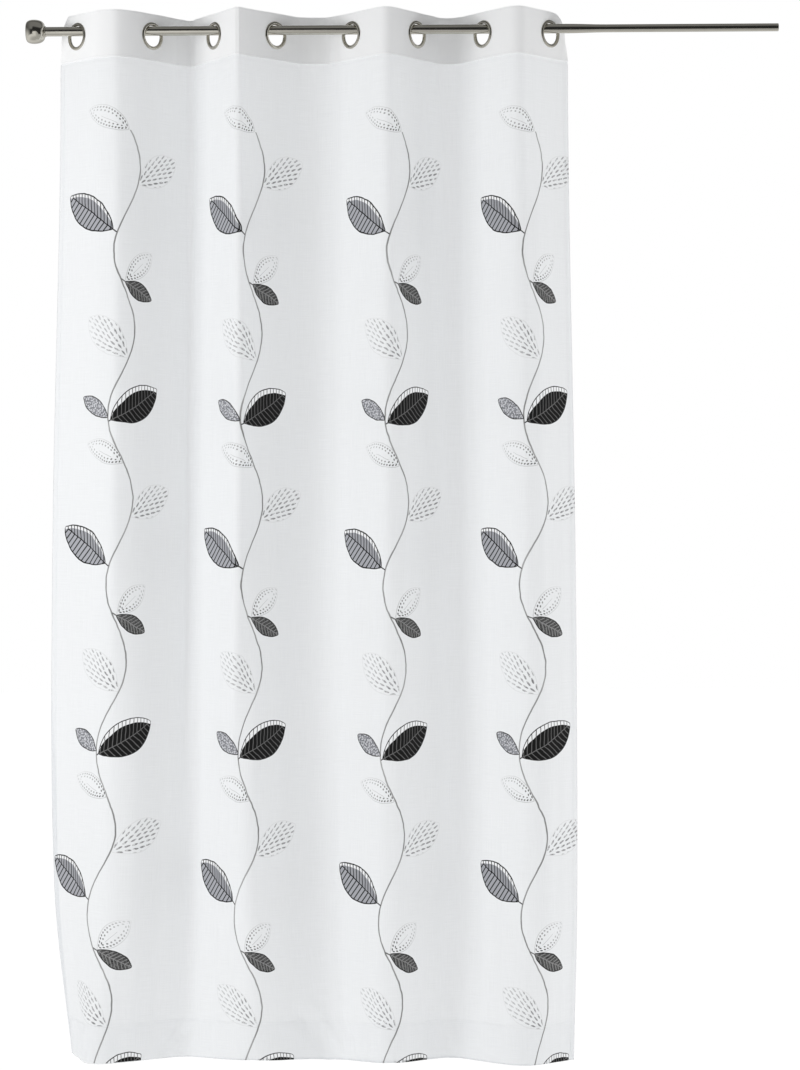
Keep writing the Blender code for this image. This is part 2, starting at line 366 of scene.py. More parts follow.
def plainDrape(places, drops):
    # where each place of the flat cloth hangs, before its creases: rows down, columns across
    places, drops = np.asarray(places, float), np.asarray(drops, float)
    sections = [headingSection(places)]
    sections += [foldSection(folds, places) for folds in (foldsAtMiddle, foldsLow, foldsAtFoot)]
    slopes = [np.zeros_like(sections[0])]
    for k in (1, 2):
        slopes.append((sections[k + 1] - sections[k - 1]) / (foldDrops[k + 1] - foldDrops[k - 1]))
    slopes.append((sections[3] - sections[2]) / (foldDrops[3] - foldDrops[2]))
    points = np.zeros((len(drops), len(places), 3))
    for row, drop in enumerate(drops):
        k = max(i for i in range(3) if drop >= foldDrops[i] or i == 0)
        gap = foldDrops[k + 1] - foldDrops[k]
        u = max(drop - foldDrops[k], 0) / gap
        points[row, :, :2] = (
            (2 * u ** 3 - 3 * u ** 2 + 1) * sections[k]
            + (u ** 3 - 2 * u ** 2 + u) * gap * slopes[k]
            + (3 * u ** 2 - 2 * u ** 3) * sections[k + 1]
            + (u ** 3 - u ** 2) * gap * slopes[k + 1])
    points[:, :, 2] = clothTop - drops[:, None]
    curlCorners(points, places, drops)
    rises = np.interp(places, [fold["flat"] * mm for fold in foldsAtFoot], footRise) * mm
    points[:, :, 2] += rises * (drops[:, None] / cloth["drop"]) ** 3
    return points


def facing(places, drops, step=0.0015):
    # the direction to the cloth's back at each point
    places = np.clip(places, step, cloth["width"] - step)
    drops = np.clip(drops, step, cloth["drop"] - step)
    across = plainDrape(places + step, drops) - plainDrape(places - step, drops)
    down = plainDrape(places, drops + step) - plainDrape(places, drops - step)
    normal = np.cross(across, down)
    return normal / np.linalg.norm(normal, axis=2)[:, :, None]


# creases given one by one: a soft trough (or ridge, where deep is below 0) along a line from
# one place of the flat cloth to another. Places, drops and sizes are in mm.
creaseColumns = ("place", "drop", "toPlace", "toDrop", "deep", "wide")
creases = [dict(zip(creaseColumns, row)) for row in (
    (147, -450, 172, 1500, -3.0, 12),
    (516, -450, 497, 1650, -4.0, 12),
    (884, -450, 901, 1500, -3.0, 13),
    (1253, -450, 1280, 1500, -3.0, 13),
    (332, -450, 354, 1600, 9.0, 9),
    (664, -30, 672, 160, 3.6, 10),
    (700, -30, 704, 150, -3.0, 9),
    (727, -30, 724, 130, 2.4, 8),
    (752, -30, 744, 140, -2.2, 8),
    (312, -20, 306, 150, 3.0, 9),
    (1052, -30, 1040, 170, 4.2, 13),
    (1088, -30, 1074, 140, -2.6, 10),
    (400, 2040, 330, 2125, -5.0, 14),
    (370, 2060, 300, 2128, 4.0, 12),
    (640, 2010, 720, 2128, 4.5, 14),
    (680, 2000, 760, 2120, -3.5, 12),
    (1000, 1990, 1040, 2128, 3.5, 14),
    (1050, 2000, 1075, 2128, -3.0, 12),
    (760, 2040, 800, 2125, 2.0, 10),
    (250, 1900, 235, 2120, -2.0, 16),
    (820, 300, 850, 1500, 1.4, 22),
    (260, 250, 285, 1300, 1.2, 18),
    (1160, 300, 1190, 1400, 1.2, 20),
)]

# long, faint waves in the cloth: how many mm from crest to crest, how deep, how it leans
waveColumns = ("length", "deep", "lean", "start")
waves = [dict(zip(waveColumns, row)) for row in (
    (47, 0.22, 9, 0.4),
    (71, 0.35, -13, 1.9),
    (113, 0.50, 17, 3.1),
    (29, 0.10, -6, 5.2),
)]


def creaseDepth(places, drops):
    # how far the creases and waves push the cloth towards its back
    s, t = np.meshgrid(np.asarray(places) / mm, np.asarray(drops) / mm)
    depth = np.zeros_like(s)
    for crease in creases:
        start = np.array((crease["place"], crease["drop"]), float)
        way = np.array((crease["toPlace"], crease["toDrop"]), float) - start
        length = np.linalg.norm(way)
        along = ((s - start[0]) * way[0] + (t - start[1]) * way[1]) / length ** 2
        off = ((s - start[0]) * way[1] - (t - start[1]) * way[0]) / length
        fade = np.clip(along * 4, 0, 1) * np.clip((1 - along) * 4, 0, 1)
        fade = fade * fade * (3 - 2 * fade)
        depth += crease["deep"] * fade * np.exp(-(off / crease["wide"]) ** 2)
    for wave in waves:
        swing = 2 * math.pi * (s + wave["lean"] * np.sin(t / 400 + wave["start"])) / wave["length"]
        depth += wave["deep"] * np.sin(swing + wave["start"])
    calm = np.ones_like(s)  # the cloth is held flat at each eyelet
    for index in range(len(eyelets)):
        middle = (eyelet["margin"] + index * pitch) / mm
        away = np.hypot(s - middle, t - eyelet["drop"] / mm)
        calm *= np.clip((away - eyelet["calm"][0]) / eyelet["calm"][1], 0, 1)
    return depth * calm * mm


def drape(places, drops, behind=0.0):
    # the finished hanging shape; behind is how far each point lies behind the cloth's middle
    places, drops = np.asarray(places, float), np.asarray(drops, float)
    off = creaseDepth(places, drops) + behind
    return plainDrape(places, drops) + facing(places, drops) * off[:, :, None]


# how far the hanging cloth is pulled askew, in mm: sideways and down, at places of the flat
# cloth (across) and drops (down)
askew = {
    "pastFoot": 0.07,  # how far past the foot the pull down reaches, in m
    "eases": 0.06,  # and over what length it starts
    "places": (0, 110, 240, 480, 610, 850, 980, 1225, 1350, 1400),
    "drops": (188, 330, 420, 560, 700, 820, 950, 1100,
              1230, 1370, 1480, 1620, 1760, 1900, 2030, 2130),
    "sideways": (
        (0, -2, 0, -3, -1, -1, 1, -1, -2, 0),
        (0, 8, 4, 0, 0, -2, 3, 1, -3, 0),
        (0, 13, 5, -1, 0, -2, 4, 3, -4, 0),
        (0, 10, 3, -3, -1, -1, 2, 4, -2, 0),
        (0, 8, -2, -8, -9, 0, -5, 5, 2, 0),
        (0, 7, -5, -13, -15, 0, -9, 4, 5, 0),
        (0, 7, -3, -15, -15, -3, -9, -5, 4, 0),
        (0, 14, 1, -15, -10, -4, -6, -10, 5, 0),
        (0, 9, 3, -8, -4, -2, -4, -8, 5, 0),
        (0, 2, 0, -6, -1, -2, -8, -6, 0, 0),
        (-7, -7, -4, -6, 0, -2, -14, -7, -5, 0),
        (-19, -19, -9, -6, -4, -3, -14, -8, -3, 0),
        (-31, -31, -9, -8, -8, -2, -11, -9, 1, 0),
        (-21, -21, -6, -4, -9, -3, -7, -6, 2, 0),
        (-9, -9, -2, -2, -5, -4, -5, -4, 1, 0),
        (0, 3, 3, 0, -2, -4, -3, -2, -1, 0),
    ),
    "downDrops": (90, 150, 420, 820, 1370, 1760, 2030, 2130, 2205),
    "downPlaces": (0, 110, 240, 480, 850, 1225, 1400),
    "down": (
        (0, 0, 0, 0, 0, 0, 0),
        (-5, -5, -1, 2, 4, 5, 5),
        (-5, -5, -2, 3, 5, 4, 4),
        (-7, -7, -4, 3, 3, 1, 2),
        (-7, -8, -7, -1, 3, 0, 0),
        (-5, -5, -4, 3, 5, 1, -1),
        (-3, -4, -3, 2, 6, 2, -1),
        (-2, -2, -1, 2, 5, 2, 0),
        (0, 0, 0, 0, 0, 0, 0),
    ),
}


def fromTable(places, drops, marks, levels, table):
    # a table read at every place and drop, smoothed down the cloth
    drops = np.asarray(drops) / mm
    rows = np.array([np.interp(np.asarray(places) / mm, marks, row) for row in table])
    near = np.linspace(-40, 40, 9)
    read = [np.mean([np.interp(drops + step, levels, column) for step in near], axis=0)
            for column in rows.T]
    return np.array(read).T * mm


def pulledAskew(places, drops):
    sideways = fromTable(places, drops, askew["places"], askew["drops"], askew["sideways"])
    down = fromTable(places, drops, askew["downPlaces"], askew["downDrops"], askew["down"])
    fromEnds = np.minimum(drops - cloth["headingHeight"], cloth["drop"] + askew["pastFoot"] - drops)
    ends = np.clip(fromEnds / askew["eases"], 0, 1)
    return np.stack((sideways, down * ends[:, None]), axis=2)


def gridPiece(name, points, flatPlaces, flatDrops, flatSize, shift=np.zeros(2)):
    # a sheet from a grid of points, with the flat cloth as its texture map
    rows, columns = points.shape[:2]
    mesh = bpy.data.meshes.new(name)
    first = np.arange((rows - 1) * columns).reshape(rows - 1, columns)[:, :-1].ravel()
    corners = np.stack((first, first + columns, first + columns + 1, first + 1), axis=1)
    mesh.from_pydata(points.reshape(-1, 3).tolist(), [], corners.tolist())
    flat = mesh.uv_layers.new(name="OFBake")
    u = (np.asarray(flatPlaces) - flatSize["left"]) / flatSize["width"]
    v = 1 - (np.asarray(flatDrops) - flatSize["top"]) / flatSize["height"]
    uv = np.stack(np.meshgrid(u, v), axis=2)
    uv -= shift * np.array((1 / flatSize["width"], -1 / flatSize["height"]))
    uv = uv.reshape(-1, 2)
    loops = np.zeros(len(mesh.loops), int)
    mesh.loops.foreach_get("vertex_index", loops)
    flat.uv.foreach_set("vector", uv[loops].astype(np.float32).ravel())
    mesh.shade_smooth()
    piece = bpy.data.objects.new(name, mesh)
    bpy.context.scene.collection.objects.link(piece)
    return piece


def stepsBetween(low, high, step):
    return np.linspace(low, high, max(2, int(round((high - low) / step)) + 1))


def buildVoile():
    hem, foot = cloth["sideHem"], cloth["footHem"]
    fine = np.array((*cloth["sideSteps"], hem))
    inner = stepsBetween(hem, cloth["width"] - hem, cloth["columnStep"])[1:-1]
    flatPlaces = np.concatenate((-fine[::-1], (0,), fine, inner,
                                 cloth["width"] - fine[::-1], (cloth["width"],),
                                 cloth["width"] + fine))
    top = cloth["headingHeight"] - cloth["tuckUp"]
    footSteps = np.array((*cloth["footSteps"], foot))
    upper = np.concatenate((stepsBetween(top, top + 0.03, 0.003),
                            stepsBetween(top + 0.03, cloth["drop"] - foot, cloth["rowStep"])[1:]))
    flatDrops = np.concatenate((upper, cloth["drop"] - footSteps[-2::-1], (cloth["drop"],),
                                cloth["drop"] + footSteps))
    places = np.where(flatPlaces < 0, -flatPlaces, flatPlaces)
    places = np.where(places > cloth["width"], 2 * cloth["width"] - places, places)
    drops = np.where(flatDrops > cloth["drop"], 2 * cloth["drop"] - flatDrops, flatDrops)
    pastSide = np.maximum(-flatPlaces, flatPlaces - cloth["width"])
    sideFold = np.clip(pastSide / cloth["hemTurns"], 0, 1)
    footFold = np.clip((flatDrops - cloth["drop"]) / cloth["hemTurns"], 0, 1)
    below, bend = cloth["tuckBends"]
    tucked = np.clip((cloth["headingHeight"] + below - drops) / bend, 0, 1)
    behind = cloth["hemGap"] * (sideFold[None, :] * 0.5 + footFold[:, None])
    behind = behind + cloth["tuckBack"] * tucked[:, None]
    flatSize = {"left": -hem, "width": cloth["width"] + 2 * hem, "top": top,
                "height": cloth["drop"] + foot - top}
    points = drape(places, drops, behind)
    shift = pulledAskew(flatPlaces, flatDrops)
    return gridPiece("voileSheet", points, flatPlaces, flatDrops, flatSize, shift), flatSize


def buildHeading():
    places = stepsBetween(0, cloth["width"], cloth["columnStep"])
    drops = stepsBetween(0, cloth["headingHeight"], 0.0040)
    flatSize = {"left": 0.0, "width": cloth["width"], "top": 0.0, "height": cloth["headingHeight"]}
    band = gridPiece("headingCloth", drape(places, drops), places, drops, flatSize)
    thick = band.modifiers.new("thickness", "SOLIDIFY")
    thick.thickness = cloth["bandThick"]
    thick.offset = 0.0
    cutter = bmesh.new()
    for index in range(len(eyelets)):
        bmesh.ops.create_cone(cutter, cap_ends=True, segments=64, radius1=eyelet["bandHole"],
                              radius2=eyelet["bandHole"], depth=0.02, matrix=eyeletPlace(index))
    cutterMesh = bpy.data.meshes.new("holes")
    cutter.to_mesh(cutterMesh)
    cutter.free()
    holes = bpy.data.objects.new("holes", cutterMesh)
    bpy.context.scene.collection.objects.link(holes)
    cut = band.modifiers.new("holes", "BOOLEAN")
    cut.object = holes
    cut.solver = "EXACT"
    settle(band)
    band.data.set_sharp_from_angle(angle=math.radians(40))
    bpy.data.objects.remove(holes)
    return band, flatSize


def settle(piece):
    # keeps what the modifiers made as the piece's own mesh
    bpy.context.view_layer.update()
    shown = piece.evaluated_get(bpy.context.evaluated_depsgraph_get())
    mesh = bpy.data.meshes.new_from_object(shown)
    piece.modifiers.clear()
    piece.data = mesh


def eyeletPlace(index):
    turn = math.radians(eyelets[index]["turn"]) * (-1 if index % 2 == 0 else 1)
    spot = Matrix.Translation((eyelets[index]["along"] * mm, 0, eyeletHeight))
    return spot @ Matrix.Rotation(turn, 4, "Z") @ Matrix.Rotation(math.pi / 2, 4, "X")


# turned metal

def turnedPiece(name, profile, sides, closed, place):
    # profile: (radius, height) pairs, turned about the local Z
    mesh = bpy.data.meshes.new(name)
    turned = bmesh.new()
    ringPoints = [turned.verts.new((radius, 0, height)) for radius, height in profile]
    edges = [turned.edges.new(pair) for pair in zip(ringPoints, ringPoints[1:])]
    if closed:
        edges.append(turned.edges.new((ringPoints[-1], ringPoints[0])))
    bmesh.ops.spin(turned, geom=ringPoints + edges, cent=(0, 0, 0), axis=(0, 0, 1),
                   angle=2 * math.pi, steps=sides, use_merge=True)
    bmesh.ops.remove_doubles(turned, verts=turned.verts, dist=0.000005)
    bmesh.ops.recalc_face_normals(turned, faces=turned.faces)
    turned.transform(place)
    turned.to_mesh(mesh)
    turned.free()
    mesh.shade_smooth()
    mesh.set_sharp_from_angle(angle=math.radians(40))
    piece = bpy.data.objects.new(name, mesh)
    bpy.context.scene.collection.objects.link(piece)
    return piece


def arc(centre, across, high, start, end, steps):
    turns = np.radians(np.linspace(start, end, steps))
    return [(centre[0] + across * math.cos(a), centre[1] + high * math.sin(a)) for a in turns]


def eyeletProfile():
    # a rolled ring: full at its outer edge and rolled in at the bore, front and back alike
    outer, inner, lip = eyelet["rollOut"], eyelet["rollIn"], eyelet["lip"]
    high = eyelet["depth"] - lip
    front = arc((eyelet["rim"] - outer, lip), outer, high, 0, 84, 10)
    front += arc((eyelet["bore"] + inner, lip), inner, high, 96, 180, 9)
    back = [(radius, -height) for radius, height in reversed(front)]
    return front + back


def buildEyelet(index):
    return turnedPiece("eyeletRing%d" % (index + 1), eyeletProfile(), eyelet["sides"], True,
                       eyeletPlace(index))


alongRod = Matrix.Rotation(math.pi / 2, 4, "Y")

knob = {
    "length": 0.0396,
    "gap": 0.0003,
    "sides": 96,
    # how far each ring of the outline is from the rod's end of the knob, and its radius
    "outline": [
        (0.0000, 0.0106), (0.0003, 0.0110), (0.0017, 0.0111), (0.0021, 0.0109), (0.0026, 0.0112),
        (0.0029, 0.0140), (0.0033, 0.0154), (0.0045, 0.0175), (0.0060, 0.0192), (0.0080, 0.0208),
        (0.0105, 0.0221), (0.0135, 0.0231), (0.0170, 0.0238), (0.0210, 0.0242), (0.0250, 0.0243),
        (0.0285, 0.0241), (0.0315, 0.0236), (0.0340, 0.0228), (0.0360, 0.0218), (0.0377, 0.0205),
        (0.0388, 0.0191), (0.0394, 0.0176), (0.0396, 0.0160),
    ],
}


def buildRod():
    knobFace = -rod["halfSpan"] + knob["length"] + knob["gap"]
    end, chamfer = rod["halfSpan"], rod["chamfer"]
    bend = [(rod["radius"] + (rod["endRadius"] - rod["radius"]) * (3 * u ** 2 - 2 * u ** 3),
             rod["taperStart"] + (rod["taperEnd"] - rod["taperStart"]) * u)
            for u in np.linspace(1, 0, 9)]
    profile = [(0, end), (rod["endRadius"] - chamfer, end), (rod["endRadius"], end - chamfer)]
    profile += bend + [(rod["radius"], knobFace), (0, knobFace)]
    return turnedPiece("rodTube", profile, rod["sides"], False, alongRod)


def buildKnob():
    neck = knob["length"] - rod["halfSpan"]
    profile = [(0, neck)] + [(radius, neck - depth) for depth, radius in knob["outline"]]
    profile.append((0, -rod["halfSpan"]))
    return turnedPiece("knobCushion", profile, knob["sides"], False, alongRod)


# sewing

sewing = {
    "stitch": 0.0027,
    "gap": 0.0009,
    "thread": 0.00022,
    "endSunk": 1.5,  # how far a stitch's ends go into the cloth, and how thin they are: in threads
    "endThin": 0.5,
    "bandSeamEnds": 0.004,
    "fromBandTop": 0.0030,
    "fromBandFoot": 0.0035,
    "footSeamEnds": 0.016,
    "fromFootHem": 0.003,  # from the hem's edge
    "fromSideHem": 0.002,
    "sideSeamEnds": (0.006, 0.003),
}


def stitchMesh(name, rows):
    # rows: (place, drop, toPlace, toDrop, lift) of each seam on the flat cloth
    sides, rings = 5, (0.0, 0.25, 0.75, 1.0)
    points, faces = [], []
    for place, drop, toPlace, toDrop, lift in rows:
        length = math.hypot(toPlace - place, toDrop - drop)
        count = int(length / (sewing["stitch"] + sewing["gap"]))
        starts = np.arange(count) / count
        ends = starts + sewing["stitch"] / length
        shares = np.stack([starts + (ends - starts) * ring for ring in rings], axis=1).ravel()
        across, down = place + (toPlace - place) * shares, drop + (toDrop - drop) * shares
        if toDrop == drop:
            line, normal = drape(across, down[:1], -lift)[0], facing(across, down[:1])[0]
        else:
            line, normal = drape(across[:1], down, -lift)[:, 0], facing(across[:1], down)[:, 0]
        line = line.reshape(count, len(rings), 3)
        normal = normal.reshape(count, len(rings), 3)
        way = line[:, -1] - line[:, 0]
        way /= np.linalg.norm(way, axis=1)[:, None]
        sidewards = np.cross(normal, way[:, None, :])
        for stitch in range(count):
            base = len(points)
            for ring, share in enumerate(rings):
                atEnd = share in (rings[0], rings[-1])
                sunk = sewing["thread"] * (sewing["endSunk"] if atEnd else 0.0)
                size = sewing["thread"] * (sewing["endThin"] if atEnd else 1.0)
                middle = line[stitch, ring] + normal[stitch, ring] * sunk
                for side in range(sides):
                    a = 2 * math.pi * side / sides
                    points.append(middle + size * (math.cos(a) * sidewards[stitch, ring]
                                                   + math.sin(a) * normal[stitch, ring]))
            for ring in range(len(rings) - 1):
                for side in range(sides):
                    a, b = base + ring * sides + side, base + ring * sides + (side + 1) % sides
                    faces.append((a, b, b + sides, a + sides))
            faces.append(tuple(base + side for side in reversed(range(sides))))
            faces.append(tuple(base + (len(rings) - 1) * sides + side for side in range(sides)))
    mesh = bpy.data.meshes.new(name)
    mesh.from_pydata([tuple(point) for point in points], [], faces)
    mesh.shade_smooth()
    piece = bpy.data.objects.new(name, mesh)
    bpy.context.scene.collection.objects.link(piece)
    return piece


# the printed vine

# sizes on the flat cloth in mm. Each column of the vine has its own axis; places across are
# from that axis, drops are from the cloth's top edge in the first repeat.
vine = {
    "firstAxis": 172,
    "columnPitch": 372,
    "repeat": 676,
    "cellTop": 188,
    "stemTop": 244,
    "stemWidth": 3.2,
    "mean": 2,
    # the stem's waves, which take it past the leaves' stalks: how far each swings, how often in a
    # repeat, and where it is furthest right
    "swings": ((28, 2, 315), (3, 1, 297)),
    "stemGrey": (136, 170),
    "wobble": 1.3,  # how far the drawn lines waver
    "reach": 12,  # how far round the drawn shapes the cloth takes the finish with the vine
}

# leaves from the base, where the stalk is, to the tip; half widths above and below the midrib,
# how far the fullest part is moved towards the tip, the stalk's length
leafColumns = ("kind", "baseX", "baseT", "tipX", "tipT", "above", "below", "fuller", "stalk")
leaves = [dict(zip(leafColumns, row)) for row in (
    ("dotted", 9, 243, -81, 204, 26, 18, 1.0, 0),
    ("dashed", 28, 352, 130, 294, 32, 30, 1.1, 0),
    ("hatched", -30, 447, -138, 373, 30, 35, 1.1, 9),
    ("dotted", 0, 550, 66, 491, 23, 21, 1.1, 0),
    ("scribbled", -1, 552, 68, 586, 16, 17, 1.1, 9),
    ("dashed", 14, 706, -84, 624, 34, 31, 1.15, 0),
    ("speckled", -25, 827, -93, 786, 16, 16, 1.1, 0),
    ("black", -19, 833, 93, 766, 34, 36, 1.15, 4),
)]

strokes = {"pitch": 15.2, "rowGap": 8.8, "long": 6.3, "thick": 1.8, "grey": 126}
dots = {"inset": (4.6, 10.8), "pitch": (6.2, 8.4), "size": (1.9, 1.8), "grey": 74}
hatched = {"gap": 7.5, "lean": (0.72, 0.12), "pitch": 9.8, "vein": 1.35, "rib": 1.4,
           "fill": (162, 172), "veinGrey": 44, "ribGrey": 28, "tickGrey": 38, "line": 1.45}
scribbled = {"lean": (0.8, 0.8), "pitch": 8.2, "vein": 1.0, "rib": 1.0, "grey": 172}
black = {"gap": 10.5, "lean": (0.58, 0.36), "pitch": 9.6, "vein": 0.95, "rib": 1.05,
         "fill": (16, 16), "veinGrey": 104, "ribGrey": 110, "tickGrey": 44, "line": 1.10}


def leafFrame(here, leaf):
    # along from 0 at the base to 1 at the tip, up in mm from the midrib, and the leaf's length
    base = Vector((leaf["baseX"], leaf["baseT"]))
    way = Vector((leaf["tipX"], leaf["tipT"])) - base
    length = way.length
    way.normalize()
    side = 1 if way.x > 0 else -1
    along = here.dot((way.x / length, way.y / length, 0)) - base.dot(way) / length
    up = here.dot((way.y * side, -way.x * side, 0)) - (base.x * way.y - base.y * way.x) * side
    return along, up, length


def leafEdge(along, half, fuller):
    # half the leaf's width at each place along it
    q = along.held() ** fuller if fuller != 1.0 else along.held()
    return (q * (1 - q)) ** 0.86 * (half * 4 ** 0.86)


def leafEnds(along):
    return within(abs(along - 0.5), 0.5, 0.01)


def leafSides(along, up, leaf):
    # how far a point lies inside the outline, and 1 between the base and the tip
    half = (up > 0).scaled(leaf["above"] - leaf["below"], leaf["below"])
    return leafEdge(along, 1, leaf["fuller"]) * half - abs(up), leafEnds(along)


def within(distance, half, blur=0.5):
    # 1 where the distance is under half, with a soft edge
    return distance.scaled(-1 / blur, half / blur + 0.5, clamp=True)


class Print:
    # collects the inks laid on the cloth: their colour, and how much of each kind
    def __init__(self, ground):
        self.colour = ground
        self.cover = None
        self.white = None

    def lay(self, share, colour, kind="ink"):
        self.colour = share.between(self.colour, shade(colour))
        if kind == "ink":
            self.cover = share if self.cover is None else self.cover.most(share)
        elif kind == "white":
            self.white = share if self.white is None else self.white.most(share)

    def layOver(self, share, colour):  # where there is ink already
        self.lay(share, colour, "over")


def printStalk(sheet, along, up, length, stalk, grey):
    share = within(abs(up), 1.3) * within(abs(along.scaled(length, stalk / 2)), stalk / 2 + 1)
    sheet.lay(share, ink(grey))


def printDotted(sheet, here, leaf):
    along, up, length = leafFrame(here, leaf)
    inward, ends = leafSides(along, up, leaf)
    fade = along.scaled(-0.8, 1.15, clamp=True) * ends
    sheet.lay(within(abs(inward), 0.9, 1.0) * fade * 0.6, ink(156))
    dotted = None
    for inset, step, size in zip(dots["inset"], dots["pitch"], dots["size"]):
        count = round(length / step)
        nearest = (along.scaled(count, inset / 24) % 1).scaled(length / count, -length / count / 2)
        offset = inward - inset
        dot = within((nearest * nearest + offset * offset).root(), size, 0.7)
        dotted = dot if dotted is None else dotted.most(dot)
    rib = within(abs(up), 0.5, 0.5) * within(abs(along - 0.45), 0.18, 0.02)
    sheet.lay(dotted * fade, ink(dots["grey"]))
    sheet.lay(rib * fade * 0.8, ink(140))


def printDashed(sheet, here, leaf, curls):
    along, up, length = leafFrame(here, leaf)
    inward, ends = leafSides(along, up, leaf)
    sheet.lay(within(abs(inward), 0.8, 0.9) * ends * 0.35, ink(190))
    # short strokes on rings round the leaf's base, each pointing away from it
    out = along * length
    far = (out * out + up * up).root()
    ring = far.scaled(1 / strokes["pitch"], 0.5).floor()
    longWays = (far - ring * strokes["pitch"]) / strokes["long"]
    spin = up.maths("ARCTAN2", out) * ring * (strokes["pitch"] / strokes["rowGap"])
    shrink = strokes["rowGap"] / strokes["thick"]
    crossWays = ((spin + ring * 0.5) % 1).scaled(shrink, -shrink / 2) / longWays.scaled(-0.25, 1)
    dash = within((longWays * longWays + crossWays * crossWays).root(), 1.0, 0.35)
    if leaf["tipX"] < leaf["baseX"]:
        fade = (up * 0.006 + along.scaled(-0.75, 1.2)).held()  # the ink runs out towards the tip
    else:
        fade = (along.scaled(-0.2, 1.1) - up * 0.006).held()
    uneven = curls.scaled(2.6, -0.35, clamp=True)  # some strokes print fainter than others
    sheet.lay(dash * fade * uneven * (inward - 1.5).inside(1.5), ink(strokes["grey"], 0.04))


def veins(along, up, length, look):
    # side veins that run outward from the midrib, and lean towards the tip
    lean = (up > 0).scaled(look["lean"][0] - look["lean"][1], look["lean"][1])
    across = along * (length / look["pitch"]) - abs(up) * lean / look["pitch"]
    return within(abs(across % 1 - 0.5), look["vein"] / look["pitch"], 0.7 / look["pitch"])


def printRimmed(sheet, here, leaf, look, bend, blue):
    # a filled leaf with veins and a white rim along its upper side
    along, up, length = leafFrame(here, leaf)
    ends = leafEnds(along)
    top = leafEdge(along, leaf["above"], 1.0) - up
    bottom = leafEdge(along, leaf["below"], leaf["fuller"]) + up
    low = bottom.inside(0.6) * ends
    body = top.inside(0.6) * low
    filled = (top - along.scaled(3.2, 0, clamp=True) * look["gap"]).inside(0.6) * low
    rib = up - along * (1 - along) * bend
    lines = veins(along, rib, length, look)
    rim = body * (1 - filled)
    sheet.lay(rim, (1, 1, 1), "white")
    sheet.lay(rim * lines, ink(look["tickGrey"]))
    sheet.lay(filled, ink(look["fill"][1], blue))
    if look["fill"][0] != look["fill"][1]:
        sheet.layOver(filled * (rib > 0), ink(look["fill"][0], blue))
    sheet.layOver(filled * lines, ink(look["veinGrey"], blue / 2))
    sheet.layOver(filled * within(abs(rib), look["rib"] / 1.2), ink(look["ribGrey"]))
    sheet.lay(within(abs(top.least(bottom)), look["line"], 0.6) * ends, ink(look["tickGrey"] - 8))
    printStalk(sheet, along, up, length, leaf["stalk"], 62)


def printMottled(sheet, here, leaf, fill, lights, lightInk, darks, darkInk, lineInk, look=None):
    along, up, length = leafFrame(here, leaf)
    inward, ends = leafSides(along, up, leaf)
    body = inward.inside(0.6) * ends
    sheet.lay(body, fill)
    sheet.layOver(body * lights, lightInk)
    sheet.layOver(body * darks, darkInk)
    if look:
        lines = veins(along, up, length, look).most(within(abs(up), look["rib"] / 1.2))
        sheet.layOver(body * lines * 0.65, ink(look["grey"]))
    sheet.lay(within(abs(inward), 1.1, 0.6) * ends, lineInk)
    if leaf["stalk"]:
        printStalk(sheet, along, up, length, leaf["stalk"], 110)


def printStem(sheet, x, t, flatDrop, patches):
    middle = None
    for swing, count, right in vine["swings"]:
        turn = 2 * math.pi * count / vine["repeat"]
        wave = t.scaled(turn, math.pi / 2 - right * turn).sine()
        middle = wave.scaled(swing, vine["mean"] if middle is None else middle)
    line = within(abs(x - middle), vine["stemWidth"] / 2, 0.9)
    line = line * (flatDrop - vine["stemTop"]).inside(0.5)
    dark, light = vine["stemGrey"]
    sheet.lay(line, ink(dark))
    sheet.layOver(line * patches.scaled(3, -1.2, clamp=True) * 0.8, ink(light))


def printVine(start, place, drop, ground):
    # place and drop are on the flat cloth, in mm
    spot = start.node("CombineXYZ", None, {0: place, 1: drop})
    shift = spot.noise(0.045, 1.0).scaled(2 * vine["wobble"], -vine["wobble"])
    half = vine["columnPitch"] / 2
    x = (place + shift - (vine["firstAxis"] - half)) % vine["columnPitch"] - half
    t = (drop - shift - vine["cellTop"]) % vine["repeat"] + vine["cellTop"]
    here = start.node("CombineXYZ", None, {0: x, 1: t})
    sheet = Print(ground)
    printStem(sheet, x, t, drop, spot.noise(0.012, 1.0))
    curls = spot.noise(0.21, 1.0, twist=1.2)
    curl1, curl2 = within(abs(curls - 0.47), 0.035, 0.02), within(abs(curls - 0.585), 0.035, 0.02)
    flecks = start.node("TexVoronoi", {"voronoi_dimensions": "2D"}, {"Vector": spot, "Scale": 0.21})
    fleck1, fleck2 = within(flecks, 0.30, 0.10), within(abs(flecks - 0.62), 0.08, 0.06)
    for leaf in leaves:
        if leaf["kind"] == "dotted":
            printDotted(sheet, here, leaf)
        elif leaf["kind"] == "dashed":
            printDashed(sheet, here, leaf, curls)
        elif leaf["kind"] == "hatched":
            printRimmed(sheet, here, leaf, hatched, 4.0, 0.10)
        elif leaf["kind"] == "black":
            printRimmed(sheet, here, leaf, black, -16.0, 0.0)
        elif leaf["kind"] == "scribbled":
            printMottled(sheet, here, leaf, ink(78), curl1 * 0.5, ink(150), curl2, ink(48), ink(38),
                         scribbled)
        else:
            printMottled(sheet, here, leaf, ink(146, 0.12), fleck1.most(curl1 * 0.7),
                         ink(212, 0.06), fleck2 * 0.8, ink(84, 0.1), ink(62))
    printed = (drop - vine["cellTop"]).inside(0.5) * (cloth["drop"] / mm - drop).inside(0.5)
    return printed.between(ground, sheet.colour), sheet.cover * printed, sheet.white * printed


